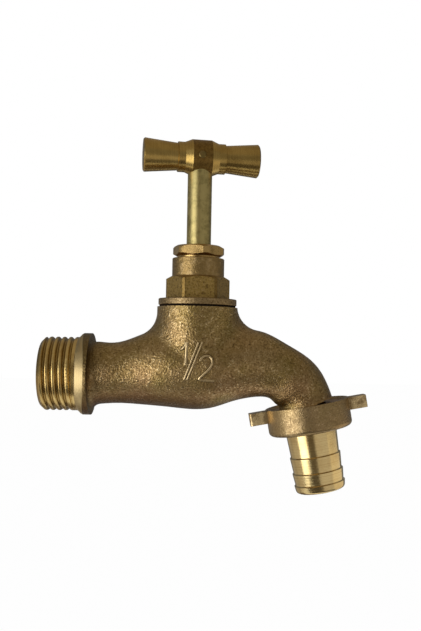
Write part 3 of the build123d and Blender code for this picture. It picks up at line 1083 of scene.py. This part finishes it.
@dataclass
class Casting:
    """Cast body of the tap with its turned inlet thread and collar."""

    thread: InletThread = field(default_factory=InletThread)
    cone: CollarCone = field(default_factory=CollarCone)
    smooth_degrees: float = 28.0

    def build(self, finish: Material) -> Piece:
        """Make the casting.

        Args:
            finish: Its finish.

        Returns:
            The casting.
        """
        body = node_copy("tap_body", "casting")
        self.cone.cut(body)
        self.thread.cut(body)
        smooth(body, self.smooth_degrees)
        dress(body, finish)
        finish_piece(body, "tap", "cast_brass", "tap_body")
        return body


@dataclass(frozen=True)
class Bar:
    """One raised stroke of the size mark, as (x, z) points in millimetres, with its half width."""

    name: str
    points: Sequence[tuple[float, float]]
    half_width: float


@dataclass
class SizeMark:
    """Raised pipe size on the front of the body: rounded bars that follow its curve."""

    bars: Sequence[Bar] = (
        Bar("one_flag", ((29.35, 7.60), (30.00, 8.05), (30.50, 8.75), (30.80, 9.50)), 0.55),
        Bar("one_stem", ((30.90, 9.60), (30.85, 7.50), (30.75, 5.40), (30.65, 3.30)), 0.66),
        Bar("slash_left", ((34.05, 9.60), (32.80, 6.20), (31.55, 2.80), (30.30, -0.60)), 0.40),
        Bar("slash_right", ((35.05, 9.60), (33.75, 6.20), (32.45, 2.80), (31.15, -0.60)), 0.36),
        Bar("two", (
            (34.60, 4.35), (34.90, 5.35), (35.80, 6.00), (36.90, 6.00), (37.80, 5.30), (38.00, 4.20),
            (37.50, 2.90), (36.40, 1.60), (35.20, 0.50), (34.20, -0.50), (35.60, -0.62), (37.20, -0.75),
            (38.70, -0.85),
        ), 0.55),
    )
    front_y: float = -20.0
    rise_mm: float = 0.32
    cuts: int = 3
    segments: int = 3
    straight_points: int = 4
    soften_factor: float = 0.5
    soften_steps: int = 2
    smooth_degrees: float = 50.0

    def build(self, body: Piece, finish: Material) -> Piece:
        """Make the mark and lay it on the body.

        Args:
            body: The casting.
            finish: Its finish.

        Returns:
            The mark.
        """
        parts = [self.stroke(bar, body) for bar in self.bars]
        deselect_all()
        for part in parts:
            part.select_set(True)
        bpy.context.view_layer.objects.active = parts[0]
        bpy.ops.object.join()
        mark = bpy.context.object
        mark.name = "size_mark"
        smooth(mark, self.smooth_degrees)
        dress(mark, finish)
        finish_piece(mark, "tap", "cast_brass")
        return mark

    def middle_line(self, bar: Bar) -> Piece:
        """Draw a bar's middle line in front of the body, as an open row of edges.

        Args:
            bar: The bar.

        Returns:
            The line.
        """
        line = ring(bar.name, [(x, self.front_y, z) for x, z in bar.points])
        for vertex in line.data.vertices:
            vertex.select = False
        ends = {0, len(bar.points) - 1}
        for edge in line.data.edges:
            edge.select = set(edge.vertices) == ends
        bpy.ops.object.mode_set(mode="EDIT")
        bpy.ops.mesh.select_mode(type="EDGE")
        bpy.ops.mesh.delete(type="EDGE_FACE")
        bpy.ops.mesh.select_all(action="SELECT")
        bpy.ops.mesh.subdivide(number_cuts=self.cuts)
        bpy.ops.object.mode_set(mode="OBJECT")
        return line

    def stroke(self, bar: Bar, body: Piece) -> Piece:
        """Lay one bar on the body as a round rod that is sunk until only its top stands out.

        Args:
            bar: The bar.
            body: The casting.

        Returns:
            The rod.
        """
        rod = self.middle_line(bar)
        soften = rod.modifiers.new("soften", "SMOOTH")
        soften.factor = self.soften_factor
        soften.iterations = self.soften_steps if len(bar.points) > self.straight_points else 0
        wrap = rod.modifiers.new("wrap", "SHRINKWRAP")
        wrap.target = body
        wrap.wrap_method = "PROJECT"
        wrap.use_project_x = False
        wrap.use_project_y = True
        wrap.use_project_z = False
        wrap.use_positive_direction = True
        wrap.use_negative_direction = False
        apply_modifiers(rod)
        for vertex in rod.data.vertices:
            vertex.co.y += (bar.half_width - self.rise_mm) * MM
        bpy.ops.object.convert(target="CURVE")
        rod.data.bevel_depth = bar.half_width * MM
        rod.data.bevel_resolution = self.segments
        rod.data.use_fill_caps = True
        bpy.ops.object.convert(target="MESH")
        rod = bpy.context.object
        rod.data.materials.clear()
        return rod


@dataclass
class NodeFinish:
    """A CAD node that keeps its shape and gets a finish."""

    node: str
    material: Material

    def apply(self) -> None:
        """Dress the node."""
        obj = frame["nodes"][self.node]
        dress(obj, self.material)
        LOG.info("node %s: %s", self.node, self.material.name)


# Studio


@dataclass
class PhotoCamera:
    """Camera at the photograph's place."""

    place: Point = (39.63, -235.71, 10.94)
    yaw: float = -0.046
    pitch: float = -0.003
    roll: float = -0.019
    focal_px: float = 816.7
    centre_px: tuple[float, float] = (256.51, 341.18)
    image_px: tuple[float, float] = (421.0, 631.0)
    sensor_mm: float = 36.0
    nearest: float = 0.01
    farthest: float = 20.0

    def build(self) -> None:
        """Add the camera and make it the scene's."""
        level = Vector((math.cos(self.yaw), math.sin(self.yaw), 0.0))
        forward = Vector((
            -math.sin(self.yaw) * math.cos(self.pitch),
            math.cos(self.yaw) * math.cos(self.pitch),
            math.sin(self.pitch),
        ))
        upright = level.cross(forward)
        right = level * math.cos(self.roll) - upright * math.sin(self.roll)
        up = upright * math.cos(self.roll) + level * math.sin(self.roll)
        turn = Matrix((right, up, -forward)).transposed()
        data = bpy.data.cameras.new("photo_camera")
        width, height = self.image_px
        data.lens = self.focal_px * self.sensor_mm / height
        data.sensor_width = self.sensor_mm
        data.shift_x = (width / 2 - self.centre_px[0]) / height
        data.shift_y = (self.centre_px[1] - height / 2) / height
        data.clip_start = self.nearest
        data.clip_end = self.farthest
        camera = bpy.data.objects.new("photo_camera", data)
        camera.matrix_world = Matrix.Translation(Vector(self.place) * MM) @ turn.to_4x4()
        bpy.context.scene.collection.objects.link(camera)
        bpy.context.scene.camera = camera


@dataclass(frozen=True)
class Panel:
    """A soft lamp or a card for reflections that stands round the tap.

    The bearing is in degrees from the front, positive to the right, and the rise is its height angle.
    """

    name: str
    bearing: float
    rise: float
    distance: float
    width: float
    height: float
    level: float = 0.0
    tint: Colour = WHITE

    def place(self) -> Matrix:
        """Work out where the panel stands, facing the tap.

        Returns:
            Its matrix.
        """
        bearing = math.radians(self.bearing)
        rise = math.radians(self.rise)
        aim = Vector((
            math.sin(bearing) * math.cos(rise),
            -math.cos(bearing) * math.cos(rise),
            math.sin(rise),
        ))
        turn = aim.to_track_quat("Z", "Y").to_matrix().to_4x4()
        return Matrix.Translation(Vector(TAP_MIDDLE) + aim * self.distance) @ turn

    def lamp(self) -> None:
        """Add the panel as an area lamp of a given brightness."""
        data = bpy.data.lights.new(self.name, "AREA")
        data.shape = "RECTANGLE"
        data.size = self.width
        data.size_y = self.height
        data.energy = self.level * math.pi * self.width * self.height
        lamp = bpy.data.objects.new(self.name, data)
        lamp.matrix_world = self.place()
        lamp.visible_camera = False
        bpy.context.scene.collection.objects.link(lamp)

    def card(self) -> None:
        """Add the panel as a card that only reflections see, at its own brightness."""
        deselect_all()
        bpy.ops.mesh.primitive_plane_add(size=1.0)
        card = bpy.context.object
        card.name = self.name
        card.data.transform(self.place() @ Matrix.Diagonal((self.width, self.height, 1.0, 1.0)))
        material, tree, surface = bare_material(self.name)
        tree.links.new(glow(tree, self.tint, self.level), surface)
        card.data.materials.append(material)
        card.visible_camera = False
        card.visible_shadow = False
        card.visible_diffuse = False
        card.visible_transmission = False


@dataclass
class Studio:
    """White surroundings, soft lamps, cards for the metal to show, and a white floor."""

    floor_z: float = -320.0
    floor_size: float = 12.0
    floor_colour: Colour = (0.90, 0.90, 0.90)
    floor_glow: float = 0.98
    world_level: float = 0.50
    lamps: Sequence[Panel] = (
        Panel("window_lamp", -51.0, -12.0, 0.42, 0.365, 0.38, 2.6),
        Panel("top_lamp", -40.0, 52.0, 0.70, 0.45, 0.30, 1.2),
    )
    cards: Sequence[Panel] = (
        Panel("back_card", 180.0, 0.0, 0.40, 0.34, 0.60, 0.14),
        Panel("left_back_low_card", -138.0, -24.0, 0.40, 0.30, 0.27, 0.42, (1.0, 0.93, 0.84)),
        Panel("left_back_high_card", -138.0, 18.0, 0.40, 0.30, 0.34, 0.20),
        Panel("left_low_side_card", -98.0, -24.0, 0.40, 0.28, 0.27, 0.52, (1.0, 0.92, 0.84)),
        Panel("left_high_side_card", -98.0, 18.0, 0.40, 0.28, 0.34, 0.20),
        Panel("left_front_card", -77.0, 0.0, 0.41, 0.06, 0.60, 0.28),
        Panel("left_high_card", -51.0, 21.0, 0.45, 0.42, 0.34, 0.60),
        Panel("left_low_card", -51.0, -24.0, 0.46, 0.42, 0.36, 0.50),
        Panel("front_card", -9.5, 0.0, 0.40, 0.26, 0.60, 0.13, (1.0, 0.84, 0.62)),
        Panel("right_front_low_card", 38.0, -24.0, 0.40, 0.47, 0.27, 0.60, (1.0, 0.94, 0.88)),
        Panel("right_low_card", 95.0, -24.0, 0.40, 0.44, 0.27, 0.84, (1.0, 0.90, 0.76)),
        Panel("right_front_high_card", 38.0, 18.0, 0.40, 0.47, 0.34, 0.30, (1.0, 0.95, 0.86)),
        Panel("right_high_card", 88.0, 18.0, 0.40, 0.33, 0.34, 0.28, (1.0, 0.95, 0.86)),
        Panel("right_dark_card", 118.0, 18.0, 0.40, 0.14, 0.34, 0.10),
        Panel("right_back_card", 143.0, 0.0, 0.41, 0.25, 0.60, 0.18),
        Panel("ceiling_card", 0.0, 89.9, 0.33, 0.90, 0.90, 0.34, (1.0, 0.87, 0.68)),
        Panel("table_card", 60.0, -58.0, 0.365, 0.55, 0.40, 0.26),
        Panel("front_table_card", 0.0, -62.0, 0.355, 0.60, 0.44, 0.08, (1.0, 0.86, 0.70)),
        Panel("back_table_card", -160.0, -66.0, 0.350, 0.42, 0.30, 0.14, (1.0, 0.80, 0.62)),
    )

    def build(self) -> None:
        """Set the stage."""
        self.world()
        self.floor()
        for lamp in self.lamps:
            lamp.lamp()
        for card in self.cards:
            card.card()
        bpy.context.scene.view_settings.view_transform = "Standard"

    def world(self) -> None:
        """Make the world white for the eye, in reflections and through glass, and softer as a light."""
        world = bpy.data.worlds.new("studio_world")
        world.use_nodes = True
        tree = world.node_tree
        tree.nodes.clear()
        seen = self.seen_share(tree)
        level = tree.nodes.new("ShaderNodeMapRange")
        level.inputs["To Min"].default_value = self.world_level
        level.inputs["To Max"].default_value = 1.0
        tree.links.new(seen, level.inputs["Value"])
        background = tree.nodes.new("ShaderNodeBackground")
        background.inputs["Color"].default_value = (*WHITE, 1.0)
        tree.links.new(level.outputs["Result"], background.inputs["Strength"])
        output = tree.nodes.new("ShaderNodeOutputWorld")
        tree.links.new(background.outputs[0], output.inputs["Surface"])
        bpy.context.scene.world = world

    @staticmethod
    def seen_share(tree: bpy.types.NodeTree) -> Socket:
        """Socket that is 1 for rays from the eye, from a reflection or through glass.

        Args:
            tree: The node tree.

        Returns:
            The socket.
        """
        path = tree.nodes.new("ShaderNodeLightPath")
        result = path.outputs["Is Camera Ray"]
        for name in ("Is Glossy Ray", "Is Transmission Ray"):
            either = tree.nodes.new("ShaderNodeMath")
            either.operation = "MAXIMUM"
            tree.links.new(result, either.inputs[0])
            tree.links.new(path.outputs[name], either.inputs[1])
            result = either.outputs[0]
        return result

    def floor(self) -> None:
        """Lay a wide white floor that keeps a faint shadow."""
        deselect_all()
        bpy.ops.mesh.primitive_plane_add(size=self.floor_size, location=(0.0, 0.0, self.floor_z * MM))
        floor = bpy.context.object
        floor.name = "floor"
        apply_place(floor)
        material, tree, surface = bare_material("floor_white")
        matte = tree.nodes.new("ShaderNodeBsdfDiffuse")
        matte.inputs["Color"].default_value = (*self.floor_colour, 1.0)
        share = tree.nodes.new("ShaderNodeMath")
        share.operation = "MULTIPLY"
        tree.links.new(self.seen_share(tree), share.inputs[0])
        share.inputs[1].default_value = self.floor_glow
        mix = tree.nodes.new("ShaderNodeMixShader")
        tree.links.new(share.outputs[0], mix.inputs[0])
        tree.links.new(matte.outputs[0], mix.inputs[1])
        tree.links.new(glow(tree, WHITE), mix.inputs[2])
        tree.links.new(mix.outputs[0], surface)
        floor.data.materials.append(material)


def main() -> None:
    """Build the tap's looks and the studio."""
    logging.basicConfig(level=logging.INFO, format="%(message)s")
    deselect_all()
    PhotoCamera().build()
    Studio().build()

    cast = CastBrass("cast_brass")
    inlet_turned = TurnedBrass(
        "inlet_turned", Axis.INLET, colour=(0.640, 0.460, 0.175), stain=(0.380, 0.230, 0.070), stain_mm=3.0,
        stain_share=0.6, line_mm=0.22, line_depth_mm=0.003, line_share=0.12, roughness=0.38
    )
    tail_turned = TurnedBrass(
        "tail_turned", Axis.OUTLET, colour=(0.740, 0.580, 0.280), stain=(0.480, 0.320, 0.120), roughness=0.15,
        line_depth_mm=0.009
    ).material()
    handle_turned = HandleFinish("handle_finish", TurnedBrass(
        "handle_turned", Axis.HANDLE, colour=(0.480, 0.325, 0.100), stain=(0.260, 0.155, 0.035),
        line_depth_mm=0.003, roughness=0.26, rough_spread=0.03, line_share=0.32
    )).material()
    stem_satin = SatinBrass("stem_satin").material()
    pin_brass = SatinBrass("pin_brass", colour=(0.270, 0.185, 0.065), grain_depth_mm=0.05).material()
    gland_gold = SatinBrass(
        "gland_gold", colour=(0.600, 0.400, 0.150), speck=(0.260, 0.160, 0.050), roughness=0.28
    ).material()
    nut_cast = NutFinish("nut_finish", CastBrass(
        "nut_cast", pit=(0.210, 0.140, 0.066), body=(0.350, 0.244, 0.118), olive=(0.315, 0.222, 0.098),
        copper=(0.400, 0.245, 0.130), bright=(0.560, 0.420, 0.240), grain_mm=0.38, grain_depth_mm=0.09,
        copper_share=0.08
    )).material()
    fibre = PlainFill(
        "fibre", (0.008, 0.005, 0.003), (0.020, 0.012, 0.008), roughness=0.95, sheen=0.05
    ).material()
    rubber = PlainFill("rubber", (0.020, 0.020, 0.020), (0.035, 0.035, 0.035)).material()
    packing = PlainFill("packing", (0.180, 0.170, 0.150), (0.260, 0.240, 0.200), grain_mm=0.8).material()
    inner_brass = TurnedBrass("inner_brass", Axis.SPINDLE).material()

    body = Casting().build(CastingFinish("casting_finish", cast, inlet_turned).material())
    mark_cast = CastBrass("mark_cast", body=(0.420, 0.300, 0.150), grain_depth_mm=0.08)
    SizeMark().build(body, MarkFinish("mark_brass", mark_cast).material())
    for node, material in {
        "bonnet": BonnetBrass("bonnet_brass").material(),
        "bonnet_washer": fibre,
        "gland_nut": gland_gold,
        "spindle": stem_satin,
        "t_handle": handle_turned,
        "handle_pin": pin_brass,
        "union_nut": nut_cast,
        "hose_tail": tail_turned,
        "hose_washer": rubber,
        "valve_washer": rubber,
        "valve_jumper": inner_brass,
        "valve_nut": inner_brass,
        "gland_ring": inner_brass,
        "packing_washer": inner_brass,
        "packing_ring_bottom": packing,
        "packing_ring_middle": packing,
        "packing_ring_top": packing,
    }.items():
        NodeFinish(node, material).apply()


if __name__ == "__main__":
    main()
